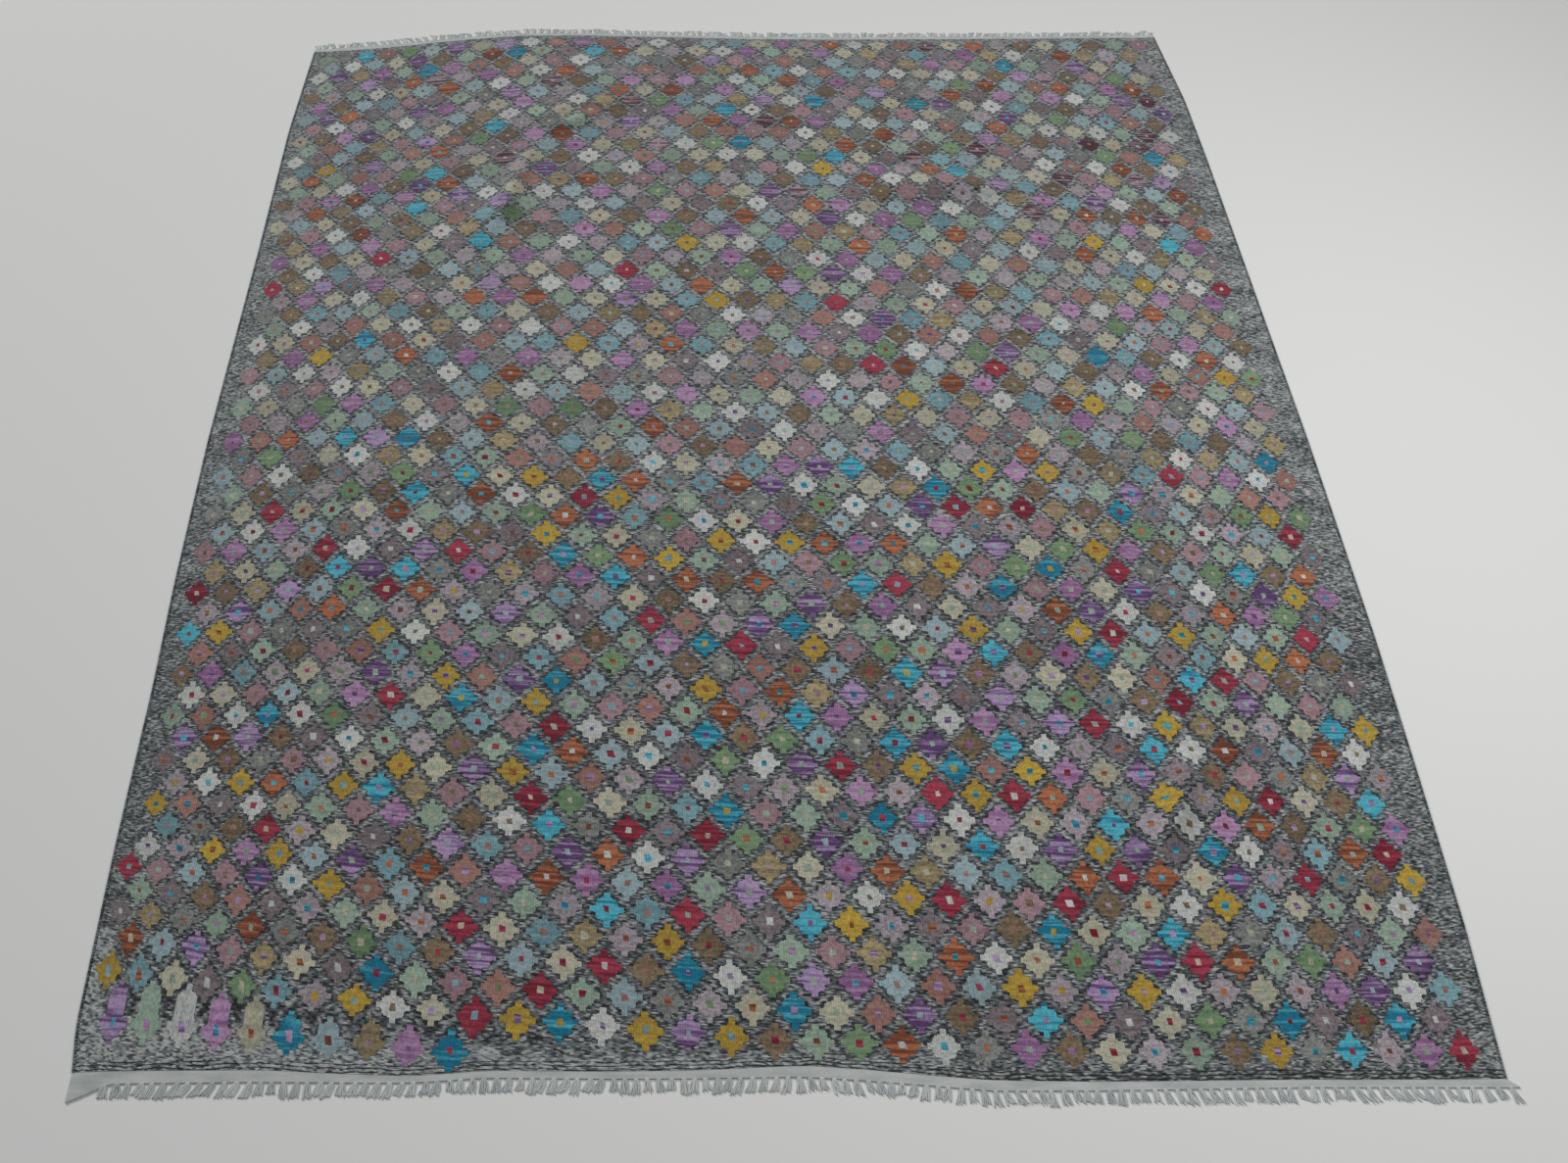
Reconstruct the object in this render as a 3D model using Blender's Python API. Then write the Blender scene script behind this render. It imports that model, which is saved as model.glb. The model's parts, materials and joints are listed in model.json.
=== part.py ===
"""Kilim rug: a flat-woven wool cloth, a plain cotton heading at each end and a warp fringe.

Metres, +Z up. The origin is on the floor under the middle of the rug. +Y runs along the
length, from the near end to the far end, and +X runs across. The tables below are in
millimetres, because a rug is measured so.
"""

import math
import random

import bmesh
import bpy
import numpy as np

MM = 0.001

# Cloth
CLOTH_THICKNESS = 3.0
CELLS_ACROSS = 40
CELLS_ALONG = 56

# The selvedges bow out a little towards the middle of the length
LEFT_SELVEDGE = (
    # along, across
    (-1560, -1221),
    (-1460, -1236),
    (-1120, -1246),
    (-750, -1251),
    (-480, -1260),
    (-60, -1266),
    (600, -1261),
    (1100, -1261),
    (1480, -1246),
)
RIGHT_SELVEDGE = (
    # along, across
    (-1612, 1226),
    (-1520, 1231),
    (-1320, 1243),
    (-1000, 1252),
    (-640, 1260),
    (-60, 1261),
    (640, 1252),
    (1030, 1247),
    (1300, 1240),
    (1610, 1212),
)

# Where the wool cloth ends, and how deep the cotton heading is beyond it
NEAR_END = (
    # across, along, heading
    (-1222, -1541, 30),
    (-1160, -1540, 22),
    (-913, -1544, 21),
    (-762, -1555, 15),
    (-660, -1561, 12),
    (-536, -1554, 13),
    (-319, -1561, 13),
    (-166, -1562, 15),
    (0, -1558, 20),
    (96, -1566, 20),
    (212, -1580, 18),
    (327, -1592, 19),
    (509, -1599, 16),
    (877, -1604, 14),
    (1079, -1609, 14),
    (1226, -1611, 16),
)
FAR_END = (
    # across, along, heading
    (-1246, 1473, 15),
    (-1140, 1488, 16),
    (-1025, 1506, 17),
    (-888, 1536, 15),
    (-783, 1556, 14),
    (-660, 1574, 14),
    (-494, 1580, 13),
    (0, 1573, 14),
    (245, 1576, 15),
    (566, 1587, 14),
    (862, 1597, 13),
    (1211, 1612, 14),
)
OUTLINE_SOFTNESS = 25.0
SOFTNESS_STEPS = 5
HALF_WIDTH = 1240.0
OUTLINE_PASSES = 4

# Low folds left in the cloth from storing it. The turn is from +X towards +Y.
FOLDS = (
    # across, along, turn in degrees, length, width, height
    (460, 878, 0, 660, 190, 19),
    (725, 805, -50, 190, 130, 7),
    (-690, 735, 62, 480, 170, 12),
    (-520, 1210, 31, 480, 170, 10),
    (760, -1050, 59, 380, 150, 10),
    (-980, 120, 78, 700, 260, 4),
    (330, -420, 24, 760, 280, 4),
)
FLAT_END = 90.0
CREASE_ANGLE = 40.0

# Heading and fringe
HEADING_THICKNESS = 2.4
PIECE_GAP = 0.3
ROOT_STRIP_DEPTH = 4.0
ROOT_STRIP_THICKNESS = 2.2
SHORTEST_EDGE = 1.0
TASSELS_PER_END = 122
TASSEL_JITTER = 2.0
TASSEL_LEAN = 4.5
TASSEL_LEAN_JITTER = 1.2
LEAN_WAVE = 310.0
# The bunch is tied at its root and opens out towards its tip
TASSEL_SECTIONS = (
    # share of length, width, height, share of lean
    (0.0, 5.0, 2.2, 0.0),
    (0.45, 7.6, 2.8, 0.35),
    (1.0, 9.6, 1.6, 1.0),
)
TOP_SHARE = 0.72
NEAR_TASSELS = {"first": -1146.0, "last": 1214.0, "length": 27.0, "uneven": 4.0, "seed": 11}
FAR_TASSELS = {"first": -1236.0, "last": 1200.0, "length": 25.0, "uneven": 5.0, "seed": 29}

# Colours as linear RGB, and roughness
HEATHER_WOOL = ((0.10, 0.105, 0.115), 0.92)
BLEACHED_COTTON = ((0.50, 0.51, 0.48), 0.88)


def clear_scene():
    for thing in list(bpy.data.objects):
        bpy.data.objects.remove(thing)


def read_table(table, at, column):
    """One column of a table at any place, with the corners between its rows eased."""
    places = [row[0] for row in table]
    values = [row[column] for row in table]
    steps = np.linspace(-OUTLINE_SOFTNESS, OUTLINE_SOFTNESS, SOFTNESS_STEPS)
    return float(np.mean(np.interp(at + steps, places, values)))


def fold_lift(across, along, fold):
    """Height of one fold: a long soft ridge that dies away on all sides."""
    fold_across, fold_along, turn, length, width, height = fold
    cosine = math.cos(math.radians(turn))
    sine = math.sin(math.radians(turn))
    run = (across - fold_across) * cosine + (along - fold_along) * sine
    side = (along - fold_along) * cosine - (across - fold_across) * sine
    if abs(run) > length / 2 or abs(side) > width / 2:
        return 0.0
    return height * math.cos(math.pi * run / length) ** 2 * math.cos(math.pi * side / width) ** 2


def cloth_lift(across, along):
    """How far the cloth stands off the floor. It lies flat along both ends."""
    to_near = along - read_table(NEAR_END, across, 1)
    to_far = read_table(FAR_END, across, 1) - along
    ease = min(1.0, max(0.0, min(to_near, to_far) / FLAT_END))
    return ease * max(fold_lift(across, along, fold) for fold in FOLDS)


def cloth_point(share_across, share_along):
    """A point of the cloth in plan, from its share of the width and of the length.

    Each edge's place depends on the other way's, so the two are settled in a few passes.
    """
    across = (2 * share_across - 1) * HALF_WIDTH
    for _ in range(OUTLINE_PASSES):
        near = read_table(NEAR_END, across, 1)
        far = read_table(FAR_END, across, 1)
        along = near + share_along * (far - near)
        left = read_table(LEFT_SELVEDGE, along, 1)
        right = read_table(RIGHT_SELVEDGE, along, 1)
        across = left + share_across * (right - left)
    return across, along


def add_slab(mesh, underside, thickness):
    """A closed sheet over a grid of underside points, thickness measured straight up."""
    rows = len(underside)
    columns = len(underside[0])
    low = [[mesh.verts.new(np.array(p) * MM) for p in row] for row in underside]
    high = [
        [mesh.verts.new(np.array((x, y, z + thickness)) * MM) for x, y, z in row]
        for row in underside
    ]
    for j in range(rows - 1):
        for i in range(columns - 1):
            mesh.faces.new((low[j][i], low[j + 1][i], low[j + 1][i + 1], low[j][i + 1]))
            mesh.faces.new((high[j][i], high[j][i + 1], high[j + 1][i + 1], high[j + 1][i]))
    rim = [(0, i) for i in range(columns)]
    rim += [(j, columns - 1) for j in range(1, rows)]
    rim += [(rows - 1, i) for i in range(columns - 2, -1, -1)]
    rim += [(j, 0) for j in range(rows - 2, 0, -1)]
    for (j, i), (k, m) in zip(rim, rim[1:] + rim[:1]):
        mesh.faces.new((low[j][i], low[k][m], high[k][m], high[j][i]))


def finish_object(name, mesh, material):
    """Turn a bmesh into a named object whose faces point out."""
    bmesh.ops.recalc_face_normals(mesh, faces=mesh.faces)
    data = bpy.data.meshes.new(name)
    mesh.to_mesh(data)
    mesh.free()
    data.materials.append(material)
    thing = bpy.data.objects.new(name, data)
    bpy.context.scene.collection.objects.link(thing)
    return thing


def make_material(name, finish):
    colour, roughness = finish
    material = bpy.data.materials.new(name)
    material.use_nodes = True
    shader = material.node_tree.nodes["Principled BSDF"]
    shader.inputs["Base Color"].default_value = (*colour, 1.0)
    shader.inputs["Roughness"].default_value = roughness
    shader.inputs["Metallic"].default_value = 0.0
    material.diffuse_color = (*colour, 1.0)
    return material


def make_cloth(material):
    """The wool cloth: one sheet with uneven edges and a few low folds."""
    underside = []
    for j in range(CELLS_ALONG + 1):
        row = []
        for i in range(CELLS_ACROSS + 1):
            across, along = cloth_point(i / CELLS_ACROSS, j / CELLS_ALONG)
            row.append((across, along, cloth_lift(across, along)))
        underside.append(row)
    mesh = bmesh.new()
    add_slab(mesh, underside, CLOTH_THICKNESS)
    cloth = finish_object("kilim_field", mesh, material)
    cloth.data.shade_smooth()
    cloth.data.set_sharp_from_angle(angle=math.radians(CREASE_ANGLE))


def end_places(outward):
    """Where the corners of the cloth's end lie across it. What meets the end repeats them."""
    share_along = 0.0 if outward < 0 else 1.0
    return [cloth_point(i / CELLS_ACROSS, share_along)[0] for i in range(CELLS_ACROSS + 1)]


def heading_edges(end, outward):
    """The two long edges of a heading, each as the along-positions at the end's corners."""
    inner = []
    outer = []
    for across in end_places(outward):
        cloth = read_table(end, across, 1)
        depth = read_table(end, across, 2) - ROOT_STRIP_DEPTH
        inner.append(cloth + outward * PIECE_GAP)
        outer.append(cloth + outward * (PIECE_GAP + depth))
    return inner, outer


def make_heading(name, end, outward, material):
    """The plain cotton band, woven on the same warps past the end of the wool."""
    places = end_places(outward)
    underside = [
        [(across, along, 0.0) for across, along in zip(places, edge)]
        for edge in heading_edges(end, outward)
    ]
    mesh = bmesh.new()
    add_slab(mesh, underside, HEADING_THICKNESS)
    finish_object(name, mesh, material)


def tassel_ring(root, outward, length, lean, section):
    """Four corners of one cross-section of a tassel: two on the floor, two above."""
    share, width, height, lean_share = section
    across = root[0] + lean * lean_share
    along = root[1] + outward * length * share
    half = width / 2
    top_half = half * TOP_SHARE
    return (
        (across - half, along, 0.0),
        (across + half, along, 0.0),
        (across + top_half, along, height),
        (across - top_half, along, height),
    )


def add_tassel(mesh, root_ring, rings):
    """Sweep the strip's own wall face out through the rings, and close the tip."""
    last = root_ring
    for ring in rings:
        corners = [mesh.verts.new(np.array(corner) * MM) for corner in ring]
        for k in range(4):
            m = (k + 1) % 4
            mesh.faces.new((last[k], last[m], corners[m], corners[k]))
        last = corners
    mesh.faces.new(last)


def make_fringe(name, end, outward, plan, material):
    """The tassels of one end, their roots tied into one narrow strip."""
    draw = random.Random(plan["seed"])
    first, last = plan["first"], plan["last"]
    pitch = (last - first) / (TASSELS_PER_END - 1)
    strip_ends = (first - pitch / 2, last + pitch / 2)
    places = end_places(outward)
    heading = heading_edges(end, outward)[1]
    mesh = bmesh.new()

    def corner(across, depth_share, height):
        from_heading = PIECE_GAP + depth_share * ROOT_STRIP_DEPTH
        along = np.interp(across, places, heading) + outward * from_heading
        return mesh.verts.new(np.array((across, along, height)) * MM)

    def station(across, depth_share):
        return corner(across, depth_share, 0.0), corner(across, depth_share, ROOT_STRIP_THICKNESS)

    outer = [station(strip_ends[0], 1.0)]
    for k in range(TASSELS_PER_END):
        middle = first + k * pitch + draw.uniform(-TASSEL_JITTER, TASSEL_JITTER)
        half = TASSEL_SECTIONS[0][1] / 2
        left = station(middle - half, 1.0)
        right = station(middle + half, 1.0)
        length = plan["length"] + draw.uniform(-1, 1) * plan["uneven"]
        lean = TASSEL_LEAN * math.sin(2 * math.pi * middle / LEAN_WAVE)
        lean += draw.uniform(-TASSEL_LEAN_JITTER, TASSEL_LEAN_JITTER)
        root = (middle, left[0].co.y / MM)
        rings = [tassel_ring(root, outward, length, lean, row) for row in TASSEL_SECTIONS[1:]]
        add_tassel(mesh, (left[0], right[0], right[1], left[1]), rings)
        outer += [left, right]
    outer.append(station(strip_ends[1], 1.0))
    low, high = strip_ends[0] + SHORTEST_EDGE, strip_ends[1] - SHORTEST_EDGE
    between = [place for place in places if low < place < high]
    inner = [station(place, 0.0) for place in (strip_ends[0], *between, strip_ends[1])]
    for level in (0, 1):
        mesh.faces.new([pair[level] for pair in outer] + [pair[level] for pair in inner[::-1]])
    for row in (inner, [outer[0], inner[0]], [outer[-1], inner[-1]]):
        for a, b in zip(row, row[1:]):
            mesh.faces.new((a[0], b[0], b[1], a[1]))
    for a, b in zip(outer[0::2], outer[1::2]):
        mesh.faces.new((a[0], b[0], b[1], a[1]))
    finish_object(name, mesh, material)


def main():
    clear_scene()
    wool = make_material("heather wool", HEATHER_WOOL)
    cotton = make_material("bleached cotton", BLEACHED_COTTON)
    make_cloth(wool)
    make_heading("heading_near", NEAR_END, -1, cotton)
    make_heading("heading_far", FAR_END, 1, cotton)
    make_fringe("fringe_near", NEAR_END, -1, NEAR_TASSELS, cotton)
    make_fringe("fringe_far", FAR_END, 1, FAR_TASSELS, cotton)


main()
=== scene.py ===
"""Kilim rug: the woven looks of a large flat-woven wool rug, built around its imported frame.

Metres in Blender, +Z up, +Y from the near end to the far end and +X across. The tables below
are in millimetres, because a rug is measured so.
"""

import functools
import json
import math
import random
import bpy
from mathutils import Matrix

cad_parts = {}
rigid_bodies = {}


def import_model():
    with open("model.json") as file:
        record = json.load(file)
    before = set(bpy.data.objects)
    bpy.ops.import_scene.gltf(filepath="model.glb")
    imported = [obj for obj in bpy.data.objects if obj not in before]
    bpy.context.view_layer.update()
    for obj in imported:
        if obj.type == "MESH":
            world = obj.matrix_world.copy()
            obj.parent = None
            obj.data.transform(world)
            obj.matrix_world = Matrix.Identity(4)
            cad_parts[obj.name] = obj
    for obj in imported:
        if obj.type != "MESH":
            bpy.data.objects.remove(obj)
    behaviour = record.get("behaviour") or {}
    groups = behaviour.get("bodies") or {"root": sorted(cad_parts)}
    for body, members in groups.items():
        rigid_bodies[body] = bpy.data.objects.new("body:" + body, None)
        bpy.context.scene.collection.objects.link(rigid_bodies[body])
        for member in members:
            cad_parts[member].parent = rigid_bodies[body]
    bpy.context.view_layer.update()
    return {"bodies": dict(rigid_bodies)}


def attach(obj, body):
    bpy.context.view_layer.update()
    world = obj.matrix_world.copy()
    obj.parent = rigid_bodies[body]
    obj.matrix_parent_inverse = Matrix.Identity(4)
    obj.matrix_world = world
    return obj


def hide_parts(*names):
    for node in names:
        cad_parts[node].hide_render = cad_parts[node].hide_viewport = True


bl_info = {
    "name": "Kilim rug",
    "version": (1, 0, 0),
    "blender": (4, 5, 0),
    "location": "3D View > Sidebar > Kilim rug",
    "description": "Weaves a kilim rug: heather ground, stepped motifs, cotton headings and fringe",
    "category": "Add Mesh",
}

import bpy
import numpy as np
from bpy.props import FloatProperty, FloatVectorProperty, IntProperty, PointerProperty
from mathutils import Matrix, Vector

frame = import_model()
BODY = next(iter(frame["bodies"]))

MM = 0.001

# ---------------------------------------------------------------- the cloth's outline and folds

LEFT_SELVEDGE = (
    # along, across
    (-1560, -1221),
    (-1460, -1236),
    (-1120, -1246),
    (-750, -1251),
    (-480, -1260),
    (-60, -1266),
    (600, -1261),
    (1100, -1261),
    (1480, -1246),
)
RIGHT_SELVEDGE = (
    # along, across
    (-1612, 1226),
    (-1520, 1231),
    (-1320, 1243),
    (-1000, 1252),
    (-640, 1260),
    (-60, 1261),
    (640, 1252),
    (1030, 1247),
    (1300, 1240),
    (1610, 1212),
)
NEAR_END = (
    # across, along, heading
    (-1222, -1541, 30),
    (-1160, -1540, 22),
    (-913, -1544, 21),
    (-762, -1555, 15),
    (-660, -1561, 12),
    (-536, -1554, 13),
    (-319, -1561, 13),
    (-166, -1562, 15),
    (0, -1558, 20),
    (96, -1566, 20),
    (212, -1580, 18),
    (327, -1592, 19),
    (509, -1599, 16),
    (877, -1604, 14),
    (1079, -1609, 14),
    (1226, -1611, 16),
)
FAR_END = (
    # across, along, heading
    (-1246, 1473, 15),
    (-1140, 1488, 16),
    (-1025, 1506, 17),
    (-888, 1536, 15),
    (-783, 1556, 14),
    (-660, 1574, 14),
    (-494, 1580, 13),
    (0, 1573, 14),
    (245, 1576, 15),
    (566, 1587, 14),
    (862, 1597, 13),
    (1211, 1612, 14),
)
OUTLINE_SOFTNESS = 25.0
SOFTNESS_STEPS = 5
HALF_WIDTH = 1240.0
OUTLINE_PASSES = 4

# Low folds left in the cloth from storing it. The turn is from +X towards +Y.
FOLDS = (
    # across, along, turn in degrees, length, width, height
    (460, 878, 0, 660, 190, 19),
    (725, 805, -50, 190, 130, 7),
    (-690, 735, 62, 480, 170, 12),
    (-520, 1210, 31, 480, 170, 10),
    (760, -1050, 59, 380, 150, 10),
    (-980, 120, 78, 700, 260, 4),
    (330, -420, 24, 760, 280, 4),
)
FLAT_END = 90.0
# Narrow creases that lie on the folds, as soft ridges
CREASES = (
    # across, along, turn in degrees, length, width, height
    (590, 862, 0, 360, 58, 5.5),
    (765, -1040, 66, 340, 82, 13.0),
    (-640, 880, 78, 440, 82, 13.0),
    (-500, 1150, 30, 280, 74, 9.0),
)

# Heights of the layers above the floor, where the cloth lies flat
GROUND_LAYER = (0.5, 3.0)
MOTIF_LAYER = (0.3, 3.45)
CENTRE_LAYER = (0.15, 3.6)
HEADING_LAYER = (0.3, 2.5)

GROUND_CELLS_ACROSS = 188
GROUND_CELLS_ALONG = 250
CREASE_ANGLE = math.radians(40)

# ---------------------------------------------------------------- the lattice of motifs

# Where the rows and columns of motifs lie. The far left is drawn in and the near left slack.
COLUMNS = (0, 1, 5, 9, 17, 25, 29, 33)
COLUMN_PLACES = (
    # row, then how far across each of the columns above
    (0, -1209, -1157, -917, -637, -46, 516, 803, 1085),
    (2, -1222, -1166, -922, -640, -42, 530, 815, 1095),
    (8, -1228, -1172, -922, -638, -38, 549, 840, 1103),
    (18, -1244, -1186, -932, -646, -42, 558, 850, 1115),
    (28, -1205, -1151, -910, -637, -44, 545, 835, 1100),
)
ROW_COLUMNS = (1, 5, 9, 17, 25, 33)
ROW_PLACES = (
    # row, then how far along it lies at each of the row columns
    (-1, 1536, 1584, 1614, 1602, 1616, 1644),
    (0, 1446, 1494, 1546, 1552, 1552, 1572),
    (1, 1352, 1387, 1452, 1463, 1453, 1448),
    (4, 1056, 1094, 1144, 1174, 1158, 1118),
    (8, 694, 721, 744, 751, 733, 690),
    (12, 304, 322, 321, 306, 288, 255),
    (16, -125, -110, -120, -146, -165, -193),
    (20, -563, -551, -564, -602, -625, -652),
    (24, -973, -976, -1001, -1059, -1091, -1111),
    (27.5, -1298, -1341, -1390, -1456, -1493, -1500),
    (28, -1365, -1399, -1446, -1512, -1548, -1558),
    (28.5, -1458, -1484, -1516, -1568, -1604, -1614),
    (29, -1521, -1544, -1578, -1622, -1656, -1668),
)
COLUMN_SPACE = 73.7
ROW_SPACE = 110.0
FIRST_ROW, LAST_ROW = 0, 29
FIRST_COLUMN, LAST_COLUMN = 0, 36
PLACE_PASSES = 10
# How near a motif's middle may come to each edge of the cloth
EDGE_ROOM = {"near": 38.0, "far": 16.0, "left": 32.0, "right": 56.0}

# The stepped outline, as shares of the motif's half width and half height from its middle out
STEPS_ACROSS = (0.19, 0.33, 0.57, 0.65, 0.76, 1.0)
STEPS_ALONG = (0.17, 0.24, 0.50, 0.61, 0.67, 1.0)
# The same in the far rows, where the bodies are fuller and the arms shorter
FAR_STEPS_ACROSS = (0.17, 0.33, 0.61, 0.70, 0.79, 1.0)
FAR_STEPS_ALONG = (0.15, 0.23, 0.50, 0.64, 0.71, 1.0)
FULLER_ROWS = (11.0, 18.0)
STEP_JITTER = 0.034
MOTIF_SIZE_JITTER = 0.06
MOTIF_SHEAR = 0.07
MOTIF_SHIFT = 0.016
CENTRE_HALF_WIDTH = 0.18
CENTRE_HALF_HEIGHT = 0.19
CENTRE_JITTER = 0.05
CENTRE_SIZES = (-0.24, 0.18)
CENTRE_LEANS = (-0.35, 0.15)
# How much smaller the centre squares are in the quiet far rows
CENTRE_FAR_CUT = 0.2
# Shares of the baked map's height that the motifs and the centre squares take up
MOTIF_TILES = (0.0, 0.88)
CENTRE_TILES = (0.89, 1.0)
TILE_MARGIN = 0.07
# Where the last rows at the near left were beaten in loosely, and how far the motifs reach there
LOOSE_ROWS = (
    # row, from column, to column, shoulder and top of the body, reach to the far and near ends
    (28.0, 0, 9.2, 0.43, 0.52, 0.86, 0.68),
    (28.5, 0, 4.6, 1.02, 1.14, 1.38, 0.95),
    (28.5, 5.0, 9.2, 0.60, 0.72, 1.02, 0.86),
)

# ---------------------------------------------------------------- the dyed wools

DYES = {
    # pale yarn, deep yarn, how streaky, how flecked, shares far / middle / near, centre squares
    "crimson": ("#9A3549", "#691226", 0.6, 0.4, (0.0, 0.0, 4.9), "white mint sky cream"),
    "mustard": ("#B59839", "#997D32", 0.15, 0.3, (0.2, 0.6, 5.1), "turquoise purple sky rust"),
    "turquoise": ("#4BA6B8", "#0A6D89", 0.8, 0.3, (2.0, 0.3, 6.2), "crimson purple orchid mustard"),
    "rust": ("#A56545", "#6C3A25", 0.8, 0.4, (6.4, 3.0, 4.6), "turquoise mint white cream"),
    "white": ("#BFC1BE", "#ADAFAB", 0.1, 0.3, (9.8, 10.5, 8.0), "crimson turquoise brown purple"),
    "cream": ("#B0AD99", "#999681", 0.2, 0.3, (13.8, 14.5, 9.6), "purple crimson rust mint"),
    "mint": ("#92A695", "#7A8E7E", 0.15, 0.4, (6.4, 9.5, 9.1), "crimson rust orchid cream"),
    "leaf_green": ("#77916E", "#587454", 0.35, 0.4, (1.2, 1.6, 3.0), "crimson cream rust"),
    "pale_blue": ("#93A8AC", "#7F959A", 0.15, 0.3, (9.8, 10.0, 5.1), "crimson rust salmon"),
    "sky": ("#7B9EA5", "#5F848D", 0.2, 0.4, (5.0, 5.0, 2.4), "crimson salmon rust"),
    "purple": ("#A089AC", "#553866", 0.75, 0.4, (4.4, 1.6, 6.2), "mint turquoise pale_blue"),
    "orchid": ("#A685A5", "#845A85", 0.65, 0.4, (6.4, 10.1, 5.9), "turquoise mint crimson purple"),
    "salmon": ("#9C766C", "#825E54", 0.15, 0.4, (5.4, 5.4, 3.6), "turquoise mint purple leaf_green"),
    "dusty_rose": ("#9D7F86", "#856A71", 0.15, 0.5, (4.4, 5.4, 3.6), "mint brown sky"),
    "brown": ("#7D6C54", "#5F513F", 0.25, 1.0, (8.2, 5.3, 8.0), "purple orchid crimson salmon"),
    "grey_mauve": ("#80767A", "#675E62", 0.2, 1.0, (6.8, 2.6, 6.5), "white turquoise rust"),
    "pale_mauve": ("#A1989E", "#8A8187", 0.25, 0.7, (8.6, 7.8, 8.6), "rust turquoise mustard leaf_green"),
    "olive": ("#9E8F6B", "#776C52", 0.4, 0.7, (2.4, 5.2, 1.8), "purple cream dusty_rose"),
    "smoke": ("#838582", "#6A6C68", 0.2, 1.0, (2.6, 3.0, 3.2), "cream rust turquoise"),
    "maroon": ("#97868E", "#4A2030", 0.9, 0.5, (1.6, 0.1, 0.0), "cream pale_blue"),
}
# Rows between which one store of yarn gives way to the next, from the far end
ZONE_ROWS = (6.5, 9.5, 15.2, 16.6)
DYE_SEED = 4107
# Single motifs that stand out among the paler rows, and the tall ones at the near left
ACCENTS = {
    # dye, then the column and row of each of its motifs
    "crimson": ((0.5, 10.5), (4.5, 9.5), (13, 10), (20, 11), (34, 10), (21, 13), (25, 13)),
    "mustard": ((28, 14), (11.5, 12.5), (22, 14), (16, 11), (3, 13)),
    "maroon": (
        (26, 5), (30.5, 4.5), (29, 6), (32, 6), (27.5, 7.5),
        (32.5, 7.5), (31, 3), (32.5, 4.5), (33.5, 2.5),
    ),
    "olive": ((33.5, 0.5),),
    "purple": ((0.5, 28.5),),
    "mint": ((1.5, 28.5),),
    "white": ((2.5, 28.5),),
    "orchid": ((3.5, 28.5),),
    "cream": ((4.5, 28.5),),
}
# Before this row from the far end most centre squares are of a quiet dye
QUIET_ROWS = 16.0
QUIET_SHARE = 0.6
QUIET_CENTRES = "cream pale_mauve mint pale_blue salmon brown grey_mauve dusty_rose"
WEAVE_SEED = 815

# ---------------------------------------------------------------- yarns and weave, real spacing

WARP_SPACING = 4.4
WEFT_SPACING = 2.7
# How far a weft wanders, in wefts, and how far its flecks may be shifted, in flecks
WEFT_WANDER = 3.4
WEFT_SLIP = 61.0
HEATHER_FLECK = 7.0
HEATHER_RUN = 21.0
HEATHER_CLUMP = (16.0, 4.0)
# What single flecks, runs along a weft and clumps of wefts add to how light the yarn looks
FLECK_WEIGHT, RUN_WEIGHT, CLUMP_WEIGHT = 0.41, 0.46, 0.17
WOOL_FLECK = (5.2, 4.2)
PALE_LIFT = 0.155
# From the first of these rows to the second the weaver went over to a darker batch of heather
DARKER_ROWS = (15.5, 20.0)
DARKER_BY = 0.06
BATCH_SWING = 0.09
# One over a motif's half width and half height, in spaces of the lattice, for the painted slit shadow
SLIT_SHADOW_REACH = (2.41, 3.28, 0.0)
STREAK_LENGTH = 120.0
STREAK_THICKNESS = 7.0
COTTON_WARP = 2.4
COTTON_WEFT = 1.8
PLY_LENGTH = 3.0
SELVEDGE_TURN = 3.0

# How often the softer patterns change in a metre, across and along the rug
WANDER_PER_METRE = (16.0, 14.0, 0.0)
BATCHES_PER_METRE = (2.6, 21.0, 0.0)
FUZZ_PER_METRE = (200.0, 330.0, 0.0)
DUST_PER_METRE = (14.0, 60.0, 0.0)
LINT_PER_METRE = (300.0, 500.0, 0.0)
WRAPPING_PER_METRE = 18.0

# Bands along the edges of the ground: how far in the change of each begins and ends
BARE_MARGIN = (30 * MM, 110 * MM)
# How far in from the selvedges and the ends the painted slit shadow fades in
SLIT_SHADOW_FROM_SIDE = (50 * MM, 100 * MM)
SLIT_SHADOW_FROM_NEAR = (40 * MM, 70 * MM)
SLIT_SHADOW_FROM_FAR = (14 * MM, 28 * MM)
LAST_WOOL = (24 * MM, 34 * MM)
LAST_WOOL_WANDER = 12 * MM
# Where the paler last wool gives out, from the left
LAST_WOOL_FADES = (1250 * MM, 1850 * MM)
BLACK_WEFTS = 17 * MM
BLACK_WEFT_SPACING = 7 * MM

# Where paler heather was woven in, between columns and rows of the lattice
PALE_PATCHES = (
    # first column, last column, first row, last row, strength
    (-3.0, 10.7, 28.42, 32.0, 1.0),
    (-3.0, 0.1, 27.4, 32.0, 0.8),
    (5.6, 8.4, 27.9, 28.6, 0.5),
)
PALE_EDGE = 0.16

# ---------------------------------------------------------------- headings, fringe and selvedges

HEADING_CELLS = 240
HEADING_ROWS = 4
# How far the near heading spreads past the wool at the right corner, and over what width
FLARE = 20.0
FLARE_REACH = 120.0
# The bare corner of cotton that hangs out at the near left
TAIL = 23.0
TAIL_REACH = 66.0
TASSELS_PER_END = 122
TASSEL_JITTER = 2.0
TASSEL_LEAN = 4.5
TASSEL_LEAN_JITTER = 1.2
BUNCH_LEAN_JITTER = 4.5
LEAN_WAVE = 310.0
# How far more the tips lean outward at the two corners of an end
CORNER_LEAN = 9.0
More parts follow.
